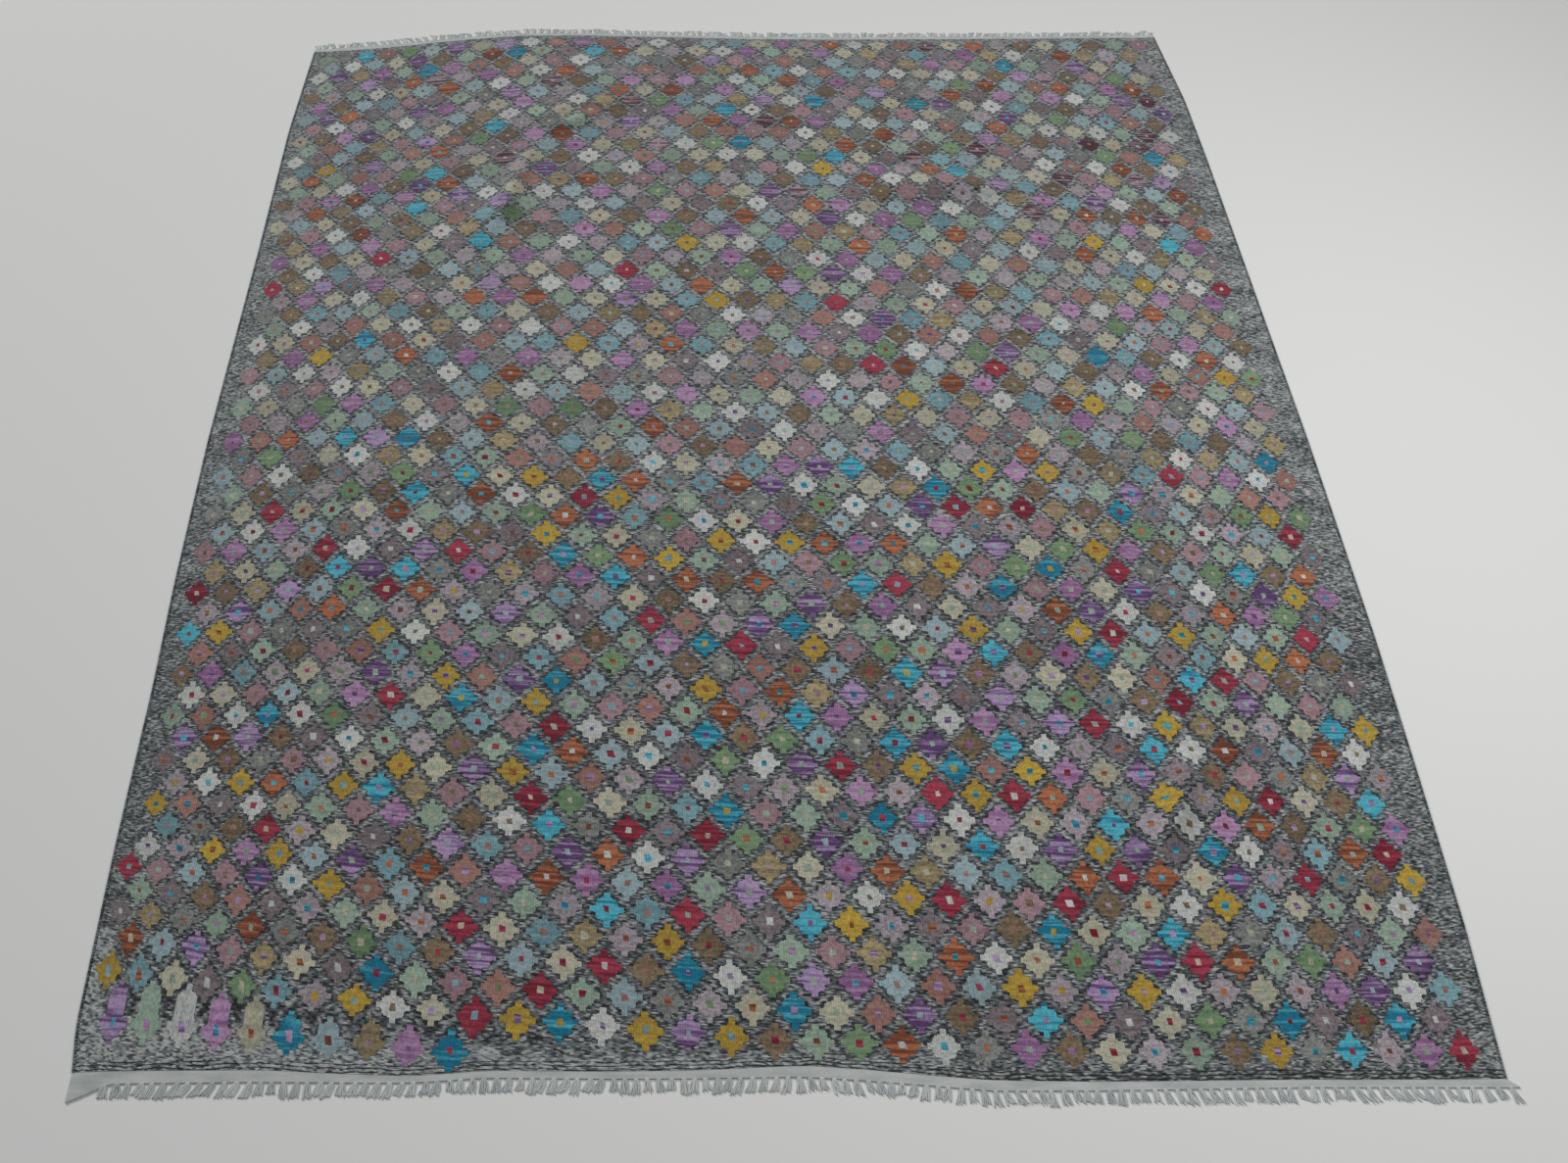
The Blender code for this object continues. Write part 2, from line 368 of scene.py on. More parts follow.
# The yarns are a little shorter than the frame's solid locks, as in the photograph
NEAR_TASSELS = {"first": -1166.0, "last": 1214.0, "length": 22.5, "uneven": 3.5, "seed": 11}
FAR_TASSELS = {"first": -1236.0, "last": 1200.0, "length": 20.0, "uneven": 4.5, "seed": 29}
KNOT_HEIGHT = 1.7
KNOT = (
    # outward from the heading, half width, half height
    (0.0, 4.4, 1.2),
    (1.6, 3.5, 1.5),
    (3.4, 3.4, 1.6),
    (5.0, 2.6, 1.2),
)
KNOT_SIDES = 8
# How far the root is tucked under the heading, and how far out and how high the yarns start
ROOT_TUCK = 1.0
YARN_START = (2.0, 1.0)
FAN_WIDTH = 12.0
ROOT_WIDTH = 6.5
YARN_EXTRA = 1.0
YARN_UNEVEN = (-3.5, 1.5)
YARN_WAVE = 1.3
YARN_WAVES = (0.8, 1.6)
YARN_REST = 1.15
YARN_TIP = 0.82
YARN_FLATNESS = 0.95
YARN_SIDES = 5
YARN_SECTIONS = 6
SELVEDGE_WIDTH = 6.5
SELVEDGE_HEIGHT = 3.9
SELVEDGE_MIDDLE = 2.0
SELVEDGE_INSET = 0.3
SELVEDGE_WOBBLE = 0.06
SELVEDGE_SIDES = 12
SELVEDGE_SECTIONS = 320
# The golden angle, by which no two sections near each other come out alike
GOLDEN_ANGLE = 2.39996

# ---------------------------------------------------------------- the stage, in metres

# Camera: how far it stands from the middle of the rug, and how it is turned
CAMERA_PLACE = (-0.1875, -2.6664, 2.6691)
CAMERA_YAW = -5.303
CAMERA_DOWN = 50.608
CAMERA_ROLL = 3.794
CAMERA_LENS = 37.125
CAMERA_SENSOR = 36.0
CAMERA_REACH = 100.0
FLOOR_SIZE = 40.0
FLOOR_COLOUR = "#E9E9E7"
# The key light stands far off behind the left of the rug. The fill hangs over its right side.
KEY_PLACE = (-11.0, 15.0, 9.5)
KEY_SIZE = 6.0
KEY_POWER = 3150.0
FILL_PLACE = (1.9, -0.35)
FILL_SIZE = 2.4
FILL_POWER = 52.0
SKY_COLOUR = "#F4F7FA"
SKY_STRENGTH = 0.14


# ---------------------------------------------------------------- colour and node helpers


def linear(hex_colour):
    """An sRGB hex colour as linear RGB."""
    values = [int(hex_colour[k : k + 2], 16) / 255 for k in (1, 3, 5)]
    return [v / 12.92 if v <= 0.04045 else ((v + 0.055) / 1.055) ** 2.4 for v in values]


def add_node(tree, kind, *inputs, at=(), stops=(), **named):
    """Add a shader node, set its options, and fill or link its inputs.

    The inputs come in the node's own order, at gives further ones by number, and a name with a
    capital letter is an input too. An input that is a node is linked to its first output.
    """
    made = tree.nodes.new("ShaderNode" + kind)
    sockets = {**dict(enumerate(inputs)), **dict(at)}
    for name, value in named.items():
        if name[0].isupper():
            sockets[name] = value
        else:
            setattr(made, name, value)
    for key, value in sockets.items():
        if isinstance(value, bpy.types.Node):
            value = value.outputs[0]
        if isinstance(value, bpy.types.NodeSocket):
            tree.links.new(value, made.inputs[key])
        else:
            made.inputs[key].default_value = value
    for k, (place, colour) in enumerate(stops):
        points = made.color_ramp.elements
        point = points[k] if k < len(points) else points.new(1.0)
        point.position = place
        point.color = (*linear(colour), 1.0)
    return made


def start_material(name):
    """An empty material, the function that adds a node to it, and its shader."""
    material = bpy.data.materials.new(name)
    material.use_nodes = True
    tree = material.node_tree
    return material, functools.partial(add_node, tree), tree.nodes["Principled BSDF"]


def as_fibre(shader, colour, relief, roughness=0.92):
    """Matt fibres: hardly any gloss, and a faint bloom of light at a low angle."""
    links = shader.id_data.links
    links.new(colour.outputs[0], shader.inputs["Base Color"])
    links.new(relief.outputs[0], shader.inputs["Normal"])
    shader.inputs["Roughness"].default_value = roughness
    shader.inputs["Specular IOR Level"].default_value = 0.18
    shader.inputs["Sheen Weight"].default_value = 0.12
    shader.inputs["Sheen Roughness"].default_value = 0.6


def per_metre(across, along):
    """How often a pattern of this size in millimetres repeats in a metre."""
    return (1 / (across * MM), 1 / (along * MM), 0.0)


# ---------------------------------------------------------------- settings


def dye_colours():
    """A pale and a deep colour property for each dye."""
    colours = {}
    for dye, (pale, deep, *_) in DYES.items():
        for shade, colour in (("pale", pale), ("deep", deep)):
            words = dye.replace("_", " ")
            colours[f"{dye}_{shade}"] = FloatVectorProperty(
                name=f"{words.capitalize()}, {shade}",
                description=f"The {shade} yarn of the {words} wool",
                subtype="COLOR",
                default=linear(colour),
                min=0.0,
                max=1.0,
            )
    return colours


class KilimDyes(bpy.types.PropertyGroup):
    """The colours of the dyed wools."""

    __annotations__ = dye_colours()


class KilimSizes(bpy.types.PropertyGroup):
    """The sizes that a weaver would choose."""

    motif_width: FloatProperty(
        name="Motif width",
        description="Width of a motif as a share of the space between two columns",
        default=0.83,
        min=0.5,
        max=0.98,
        subtype="FACTOR",
    )
    motif_height: FloatProperty(
        name="Motif height",
        description="Height of a motif as a share of the space between two rows",
        default=0.61,
        min=0.4,
        max=0.9,
        subtype="FACTOR",
    )
    yarn_thickness: FloatProperty(
        name="Fringe yarn",
        description="Thickness of one yarn of the fringe",
        default=0.0028,
        unit="LENGTH",
    )
    yarns_per_tassel: IntProperty(
        name="Yarns in a tassel",
        description="How many warp yarns are tied into one tassel",
        default=6,
        min=3,
        max=8,
    )
    light_height: FloatProperty(
        name="Fill light height",
        description="Height of the soft fill light over the rug",
        default=3.0,
        unit="LENGTH",
    )


# ---------------------------------------------------------------- the shape of the cloth


def read_table(table, at, column):
    """One column of a table at many places, with the corners between its rows eased."""
    places = [row[0] for row in table]
    values = [row[column] for row in table]
    steps = np.linspace(-OUTLINE_SOFTNESS, OUTLINE_SOFTNESS, SOFTNESS_STEPS)
    return np.mean([np.interp(at + step, places, values) for step in steps], axis=0)


def fold_lift(across, along, fold):
    """Height of one fold: a long soft ridge that dies away on all sides."""
    fold_across, fold_along, turn, length, width, height = fold
    cosine = math.cos(math.radians(turn))
    sine = math.sin(math.radians(turn))
    run = (across - fold_across) * cosine + (along - fold_along) * sine
    side = (along - fold_along) * cosine - (across - fold_across) * sine
    inside = (np.abs(run) <= length / 2) & (np.abs(side) <= width / 2)
    shape = np.cos(math.pi * run / length) ** 2 * np.cos(math.pi * side / width) ** 2
    return np.where(inside, height * shape, 0.0)


def room_inside(across, along):
    """How far places of the plan lie inside each edge of the cloth."""
    return {
        "near": along - read_table(NEAR_END, across, 1),
        "far": read_table(FAR_END, across, 1) - along,
        "left": across - read_table(LEFT_SELVEDGE, along, 1),
        "right": read_table(RIGHT_SELVEDGE, along, 1) - across,
    }


def cloth_lift(across, along):
    """How far the cloth stands off the floor. It lies flat along both ends."""
    room = room_inside(across, along)
    ease = np.clip(np.minimum(room["near"], room["far"]) / FLAT_END, 0.0, 1.0)
    folds = np.max([fold_lift(across, along, fold) for fold in FOLDS], axis=0)
    creases = np.max([fold_lift(across, along, crease) for crease in CREASES], axis=0)
    return ease * (folds + creases)


def cloth_point(share_across, share_along):
    """Points of the cloth in plan, from their shares of the width and of the length."""
    across = (2 * share_across - 1) * HALF_WIDTH
    for _ in range(OUTLINE_PASSES):
        near = read_table(NEAR_END, across, 1)
        far = read_table(FAR_END, across, 1)
        along = near + share_along * (far - near)
        left = read_table(LEFT_SELVEDGE, along, 1)
        right = read_table(RIGHT_SELVEDGE, along, 1)
        across = left + share_across * (right - left)
    return across, along


# ---------------------------------------------------------------- the lattice


def run_on(at, places, values):
    """Read a row of values at many places, straight on past both of its ends."""
    places = np.asarray(places, float)
    values = np.asarray(values, float)
    k = np.clip(np.searchsorted(places, at) - 1, 0, len(places) - 2)
    share = (at - places[k]) / (places[k + 1] - places[k])
    return values[k] + share * (values[k + 1] - values[k])


def read_lattice(table, columns, column, row):
    """Read a table of rows and columns at many places, straight lines between its entries."""
    rows = np.array([line[0] for line in table], float)
    at_column = np.array([run_on(column, columns, line[1:]) for line in table])
    k = np.clip(np.searchsorted(rows, row) - 1, 0, len(rows) - 2)
    share = (row - rows[k]) / (rows[k + 1] - rows[k])
    each = np.arange(len(column))
    return at_column[k, each] * (1 - share) + at_column[k + 1, each] * share


def lattice_point(column, row):
    """Where places of the lattice lie in plan."""
    column, row = np.broadcast_arrays(np.asarray(column, float), np.asarray(row, float))
    flat_column, flat_row = column.ravel(), row.ravel()
    across = read_lattice(COLUMN_PLACES, COLUMNS, flat_column, flat_row)
    along = read_lattice(ROW_PLACES, ROW_COLUMNS, flat_column, flat_row)
    return across.reshape(column.shape), along.reshape(column.shape)


def lattice_place(across, along):
    """The lattice's column and row at points of the plan, found in a few passes."""
    column = (across - LEFT_SELVEDGE[0][1]) / COLUMN_SPACE
    row = (FAR_END[0][1] - along) / ROW_SPACE
    for _ in range(PLACE_PASSES):
        found_across, found_along = lattice_point(column, row)
        column = column + (across - found_across) / COLUMN_SPACE
        row = row - (along - found_along) / ROW_SPACE
    return column, row


def motif_places():
    """Columns and rows of every motif whose middle is far enough inside the cloth."""
    places = []
    for doubled_row in range(2 * FIRST_ROW, 2 * LAST_ROW + 1):
        first = FIRST_COLUMN + (doubled_row % 2) / 2
        for column in np.arange(first, LAST_COLUMN, 1.0):
            places.append((column, doubled_row / 2))
    column, row = np.array(places).T
    room = room_inside(*lattice_point(column, row))
    kept = np.all([room[edge] >= EDGE_ROOM[edge] for edge in room], axis=0)
    return column[kept], row[kept]


def zone_shares(row):
    """How much of each dye the weaver had to hand at a row."""
    shares = {}
    for dye, (*_, (far, middle, near), _) in DYES.items():
        shares[dye] = float(np.interp(row, ZONE_ROWS, (far, middle, middle, near)))
    return shares


def choose_dyes(column, row):
    """A dye for each motif and one for its centre. No motif repeats a neighbour's dye."""
    draw = random.Random(DYE_SEED)
    body = {}
    centre = {}
    beside = ((-0.5, -0.5), (0.5, -0.5), (-1.0, 0.0), (0.0, -1.0), (-1.0, -1.0), (1.0, -1.0))
    accents = {place: dye for dye, places in ACCENTS.items() for place in places}
    for place in zip(column, row):
        shares = zone_shares(place[1])
        taken = {body.get((place[0] + dc, place[1] + dr)) for dc, dr in beside}
        dyes = [dye for dye in shares if dye not in taken]
        chosen = draw.choices(dyes, [shares[dye] for dye in dyes])[0]
        body[place] = accents.get(place, chosen)
        quiet = place[1] < QUIET_ROWS and draw.random() < QUIET_SHARE
        centre_dyes = QUIET_CENTRES if quiet else DYES[body[place]][5]
        centre[place] = draw.choice([dye for dye in centre_dyes.split() if dye != body[place]])
    return body, centre


# ---------------------------------------------------------------- meshes


def add_piece(name, points, faces, material, maps):
    """A closed mesh piece from points in millimetres, with one map value for each point."""
    data = bpy.data.meshes.new(name)
    data.from_pydata((np.asarray(points) * MM).tolist(), [], [list(map(int, f)) for f in faces])
    corners = np.empty(len(data.loops), np.int32)
    data.loops.foreach_get("vertex_index", corners)
    for map_name, values in maps.items():
        layer = data.uv_layers.new(name=map_name)
        layer.data.foreach_set("uv", np.asarray(values, np.float32)[corners].ravel())
    data.materials.append(material)
    data.shade_smooth()
    data.set_sharp_from_angle(angle=CREASE_ANGLE)
    piece = bpy.data.objects.new(name, data)
    bpy.context.scene.collection.objects.link(piece)
    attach(piece, BODY)
    return piece


def slab_faces(rows, columns):
    """Faces of a closed slab over a grid: its points are all the low ones, then all the high."""
    low = np.arange(rows * columns).reshape(rows, columns)
    corners = [low[:-1, :-1], low[:-1, 1:], low[1:, 1:], low[1:, :-1]]
    over = np.stack([corner.ravel() for corner in corners], axis=1) + rows * columns
    under = np.stack([corners[k].ravel() for k in (0, 3, 2, 1)], axis=1)
    rim = np.concatenate([low[0, :], low[1:, -1], low[-1, -2::-1], low[-2:0:-1, 0]])
    after = np.roll(rim, -1)
    walls = np.stack([rim, after, after + rows * columns, rim + rows * columns], axis=1)
    return np.concatenate([under, over, walls])


def layer_points(across, along, layer, axis=0):
    """Points of the lower and then the upper side of a layer that follows the cloth's folds."""
    lift = cloth_lift(across, along)
    sides = [np.stack([across, along, lift + height], axis=-1) for height in layer]
    return np.concatenate(sides, axis=axis).reshape(-1, 3)


def weave_map(column, row):
    """Metres along the weft and along the warp, so that a weave keeps its real scale."""
    return np.stack([column * COLUMN_SPACE * MM, -row * ROW_SPACE * MM], axis=-1)


def stepped_template():
    """Cells of the stepped motif on its grid of step lines.

    Returns line numbers across and along for each point, the cells, and the outline's edges.
    """
    steps = len(STEPS_ACROSS)
    middle = steps - 1
    numbers = {}
    cells = []
    edges = set()
    for j in range(2 * steps - 1):
        for i in range(2 * steps - 1):
            if abs(i - middle) + abs(j - middle) > middle:
                continue
            ring = [(i, j), (i + 1, j), (i + 1, j + 1), (i, j + 1)]
            cell = [numbers.setdefault(corner, len(numbers)) for corner in ring]
            cells.append(cell)
            for a, b in zip(cell, cell[1:] + cell[:1]):
                if (b, a) in edges:
                    edges.remove((b, a))
                else:
                    edges.add((a, b))
    lines = np.array(list(numbers))
    return lines[:, 0], lines[:, 1], np.array(cells), np.array(sorted(edges))


def tile_map(across_tile, along_tile, low, high):
    """Places in one square map, a tile for each row of shares from -1 to 1."""
    count = len(across_tile)
    per_row = math.ceil(math.sqrt(count / (high - low)))
    size = 1.0 / per_row
    inner = 1 - 2 * TILE_MARGIN
    number = np.arange(count)[:, None]
    u = (number % per_row + TILE_MARGIN + (across_tile + 1) / 2 * inner) * size
    v = low + (number // per_row + TILE_MARGIN + (along_tile + 1) / 2 * inner) * size
    return np.stack([u, np.minimum(v, 1.0)], axis=-1)


def woven_prisms(at_column, at_row, cells, edges, layer, tiles, draw):
    """Like prisms, one for each row of places in the lattice: points, faces and map values."""
    count, corners = at_column.shape
    points = layer_points(*lattice_point(at_column, at_row), layer, axis=1)
    rims = [edges[:, 0], edges[:, 1], edges[:, 1] + corners, edges[:, 0] + corners]
    prism = np.concatenate([cells + corners, cells[:, ::-1], np.stack(rims, axis=1)])
    starts = np.arange(count)[:, None, None] * 2 * corners
    own = np.repeat(draw.uniform(0, 1, (count, 1, 2)), corners, axis=1)
    maps = {"weave": weave_map(at_column, at_row), "own": own, "OFBake": tiles}
    maps = {name: np.tile(values, (1, 2, 1)).reshape(-1, 2) for name, values in maps.items()}
    return points, (prism[None] + starts).reshape(-1, 4), maps


def step_lines(far_steps, steps, row, draw):
    """Where the step lines of each motif lie, from -1 to 1, with the weaver's unevenness."""
    share = np.interp(row, FULLER_ROWS, (0.0, 1.0))[:, None]
    half = np.array(far_steps) * (1 - share) + np.array(steps) * share
    lines = np.concatenate([-half[:, ::-1], half], axis=1)
    return lines + draw.uniform(-STEP_JITTER, STEP_JITTER, lines.shape)


def loose_reach(column, row, share_along):
    """Heights in each motif, drawn out or pressed together in the loosely beaten rows."""
    steps = (-2.0, 0.0, *STEPS_ALONG[1:4], 1.0, 2.0)
    for loose_row, first, last, shoulder, body_top, to_far, to_near in LOOSE_ROWS:
        loose = (row == loose_row) & (column >= first) & (column <= last)
        heights = (-2 * to_near, 0.0, STEPS_ALONG[1], shoulder, body_top, to_far, to_far + 1)
        drawn = np.interp(share_along, steps, heights)
        share_along = np.where(loose[:, None], drawn, share_along)
    return share_along


def motif_mesh(column, row, sizes, draw):
    """Points, faces and map values of the stepped motifs at many places of the lattice."""
    line_across, line_along, cells, edges = stepped_template()
    count = len(column)
    share_across = step_lines(FAR_STEPS_ACROSS, STEPS_ACROSS, row, draw)[:, line_across]
    share_along = step_lines(FAR_STEPS_ALONG, STEPS_ALONG, row, draw)[:, line_along]
    size = 1 + draw.uniform(-MOTIF_SIZE_JITTER, MOTIF_SIZE_JITTER, (2, count, 1))
    shear = draw.uniform(-MOTIF_SHEAR, MOTIF_SHEAR, (count, 1))
    shift = draw.uniform(-MOTIF_SHIFT, MOTIF_SHIFT, (2, count, 1))
    reach_across = share_across * size[0] + shear * share_along
    at_column = column[:, None] + shift[0] + reach_across * sizes.motif_width / 2
    reach_along = loose_reach(column, row, share_along) * size[1]
    at_row = row[:, None] + shift[1] - reach_along * sizes.motif_height / 2
    tiles = tile_map(share_across, share_along, *MOTIF_TILES)
    return woven_prisms(at_column, at_row, cells, edges, MOTIF_LAYER, tiles, draw)


def centre_mesh(column, row, sizes, draw):
    """Points, faces and map values of the small squares in the middle of motifs."""
    count = len(column)
    corners = np.array([(-1, -1), (1, -1), (1, 1), (-1, 1)], float)
    uneven = draw.uniform(-CENTRE_JITTER, CENTRE_JITTER, (count, 4, 2))
    size = 1 + draw.uniform(*CENTRE_SIZES, (count, 1)) - CENTRE_FAR_CUT * (row[:, None] < QUIET_ROWS)
    shear = draw.uniform(*CENTRE_LEANS, (count, 1))
    share_across = (corners[:, 0] + shear * corners[:, 1]) * size * CENTRE_HALF_WIDTH
    share_across = share_across + uneven[..., 0]
    share_along = corners[:, 1] * size * CENTRE_HALF_HEIGHT + uneven[..., 1]
    at_column = column[:, None] + share_across * sizes.motif_width / 2
    at_row = row[:, None] - share_along * sizes.motif_height / 2
    square = np.broadcast_to(corners, (count, 4, 2))
    tiles = tile_map(square[..., 0], square[..., 1], *CENTRE_TILES)
    cells = np.array([(0, 1, 2, 3)])
    edges = np.array([(0, 1), (1, 2), (2, 3), (3, 0)])
    return woven_prisms(at_column, at_row, cells, edges, CENTRE_LAYER, tiles, draw)


def join_meshes(meshes):
    """Several (points, faces, maps) as one."""
    points, faces, maps = zip(*meshes)
    starts = np.cumsum([0, *map(len, points)])
    joined = {name: np.concatenate([each[name] for each in maps]) for name in maps[0]}
    shifted = [each + start for each, start in zip(faces, starts)]
    return np.concatenate(points), np.concatenate(shifted), joined


def tube(path, half_width, half_height, sides):
    """A closed tube along a path: points and faces. Half sizes are given for each section."""
    path = np.asarray(path, float)
    heading = np.gradient(path, axis=0)
    heading[:, 2] = 0.0
    heading /= np.linalg.norm(heading, axis=1)[:, None]
    sideways = np.stack([-heading[:, 1], heading[:, 0], np.zeros(len(path))], axis=1)
    angle = 2 * math.pi * np.arange(sides) / sides
    points = (
        path[:, None]
        + sideways[:, None] * (np.cos(angle)[None] * half_width[:, None])[..., None]
        + np.array([0, 0, 1.0]) * (np.sin(angle)[None] * half_height[:, None])[..., None]
    )
    ring = np.arange(sides)
    start = np.arange(len(path) - 1)[:, None] * sides
    after = (ring + 1) % sides
    corners = [start + ring, start + ring + sides, start + after + sides, start + after]
    walls = np.stack(corners, axis=-1).reshape(-1, 4)
    caps = [ring, ring[::-1] + (len(path) - 1) * sides]
    return points.reshape(-1, 3), [*walls, *caps]


def add_tubes(name, tubes, material):
    """One piece of many tubes: path, half width, half height, sides and own look of each.

    A tube's own look is two shares that its material may use. None leaves them out.
    """
    points, faces, maps = [], [], {"weave": []}
    start = 0
    for path, half_width, half_height, sides, own in tubes:
        some_points, some_faces = tube(path, half_width, half_height, sides)
        points.append(some_points)
        faces += [face + start for face in some_faces]
        run = np.concatenate([[0], np.cumsum(np.linalg.norm(np.diff(path, axis=0), axis=1))])
        around = np.tile(np.arange(sides) / sides, len(run))
        maps["weave"].append(np.stack([around, np.repeat(run, sides) * MM], axis=1))
        if own:
            maps.setdefault("own", []).append(np.tile(own, (len(some_points), 1)))
        start += len(some_points)
    maps = {map_name: np.concatenate(values) for map_name, values in maps.items()}
    return add_piece(name, np.concatenate(points), faces, material, maps)


# ---------------------------------------------------------------- materials


def heather_grain(add, along_weft, bent):
    """How light the yarn is: single flecks, the runs that they form, and clumps of wefts."""
    line = add("Math", bent, operation="FLOOR")
    line_draw = add("TexWhiteNoise", W=line, noise_dimensions="1D")
    pick = add("Math", along_weft, 1 / (HEATHER_FLECK * MM), operation="MULTIPLY")
    slipped = add("Math", line_draw, WEFT_SLIP, pick, operation="MULTIPLY_ADD")
    fleck = add("Math", slipped, operation="FLOOR")
    fleck_at = add("CombineXYZ", fleck, line)
    fine = add("TexWhiteNoise", Vector=fleck_at, noise_dimensions="2D")
    along_yarn = add("Math", slipped, HEATHER_FLECK / HEATHER_RUN, operation="MULTIPLY")
    run_at = add("CombineXYZ", along_yarn, line)
    runs = add("TexNoise", Vector=run_at, Scale=1.0, Detail=1.0)
    clump_run = add("Math", along_weft, 1 / (HEATHER_CLUMP[0] * MM), operation="MULTIPLY")
    clump_line = add("Math", bent, WEFT_SPACING / HEATHER_CLUMP[1], operation="MULTIPLY")
    clump_at = add("CombineXYZ", clump_run, clump_line)
    clumps = add("TexNoise", Vector=clump_at, Scale=1.0, Detail=2.5, Roughness=0.62)
    fine_part = add("MapRange", fine, 0.0, 1.0, 0.0, FLECK_WEIGHT)
    run_part = add("MapRange", runs, 0.34, 0.66, 0.0, RUN_WEIGHT)
    clump_part = add("MapRange", clumps, 0.36, 0.64, 0.0, CLUMP_WEIGHT)
    in_line = add("Math", fine_part, run_part, operation="ADD")
    return add("Math", in_line, clump_part, operation="ADD"), clumps


def heather_batches(add, tone, weave, along_warp, from_side):
    """Longer swings of light and dark, strongest in the bare margins beside the selvedges."""
    batches = add("VectorMath", weave, BATCHES_PER_METRE, operation="MULTIPLY")
    batch = add("TexNoise", Vector=batches, Scale=1.0, Detail=2.0)
    swing = add("MapRange", batch, 0.3, 0.7, -BATCH_SWING, BATCH_SWING)
    margin = add("MapRange", from_side, *BARE_MARGIN, 1.2, 0.6)
    swung = add("Math", swing, margin, operation="MULTIPLY")
    toned = add("Math", tone, swung, operation="ADD")
    row_ends = [-row * ROW_SPACE * MM for row in DARKER_ROWS]
    darker = add("MapRange", along_warp, *row_ends, 0.0, -DARKER_BY)
    return add("Math", toned, darker, operation="ADD")


def paler_wool(add, tone, wobble, pale, rows_in, along_weft):
    """The paler patches, and the paler last wool by the near heading."""
    ragged = add("Math", wobble, 0.8, pale, operation="MULTIPLY_ADD")
    patch = add("MapRange", ragged, 0.75, 1.05, 0.0, PALE_LIFT)
    last_wool = add("MapRange", rows_in, *LAST_WOOL, PALE_LIFT, 0.0)
    to_left = add("MapRange", along_weft, *LAST_WOOL_FADES, 1.0, -0.15)
    last_pale = add("Math", last_wool, to_left, operation="MULTIPLY")
    lift = add("Math", patch, last_pale, operation="MAXIMUM")
    return add("Math", tone, lift, operation="ADD")


def painted_slit_shadow(add, tone, weave, from_near, from_far, from_side):
    """Painted shadow of the slits: the ground is painted darker where the closest motif's outline is near
    in the lattice.
    """
    lattice = add("VectorMath", weave, per_metre(COLUMN_SPACE, ROW_SPACE), operation="MULTIPLY")
    apart = []
    for start in (0.0, 0.5):
        moved = add("VectorMath", lattice, (start, start, 0.0), operation="ADD")
        part = add("VectorMath", moved, operation="FRACTION")
        centred = add("VectorMath", part, (0.5, 0.5, 0.0), operation="SUBTRACT")
        size = add("VectorMath", centred, operation="ABSOLUTE")
        reach = add("VectorMath", size, SLIT_SHADOW_REACH, operation="DOT_PRODUCT")
        apart.append(reach.outputs["Value"])
    closest = add("Math", *apart, operation="MINIMUM")
    # Painted shadow: the ground darkens towards each motif's outline, where the slits lie
    slit = add("MapRange", closest, 1.05, 1.35, -0.17, 0.01)
    beside = add("MapRange", from_side, *SLIT_SHADOW_FROM_SIDE)
    before = add("MapRange", from_near, *SLIT_SHADOW_FROM_NEAR)
    behind = add("MapRange", from_far, *SLIT_SHADOW_FROM_FAR)
    both_ends = add("Math", before, behind, operation="MULTIPLY")
    inside = add("Math", beside, both_ends, operation="MULTIPLY")
    return add("Math", slit, inside, tone, operation="MULTIPLY_ADD")


def black_wefts(add, tone, rows_in, from_near, clumps):
    """A few broken black wefts that end the wool at the near heading."""
    black = add("Math", rows_in, 1 / BLACK_WEFT_SPACING, operation="MULTIPLY")
    phase = add("Math", black, operation="FRACT")
    is_black = add("MapRange", phase, 0.25, 0.4, 1.0, 0.0)
    near_rim = add("Math", from_near, BLACK_WEFTS, operation="LESS_THAN")
    broken = add("MapRange", clumps, 0.4, 0.5, 0.25, 1.0)
    blackened = add("Math", is_black, near_rim, operation="MULTIPLY")
    in_parts = add("Math", blackened, broken, operation="MULTIPLY")
    return add("Math", in_parts, -0.5, tone, operation="MULTIPLY_ADD")


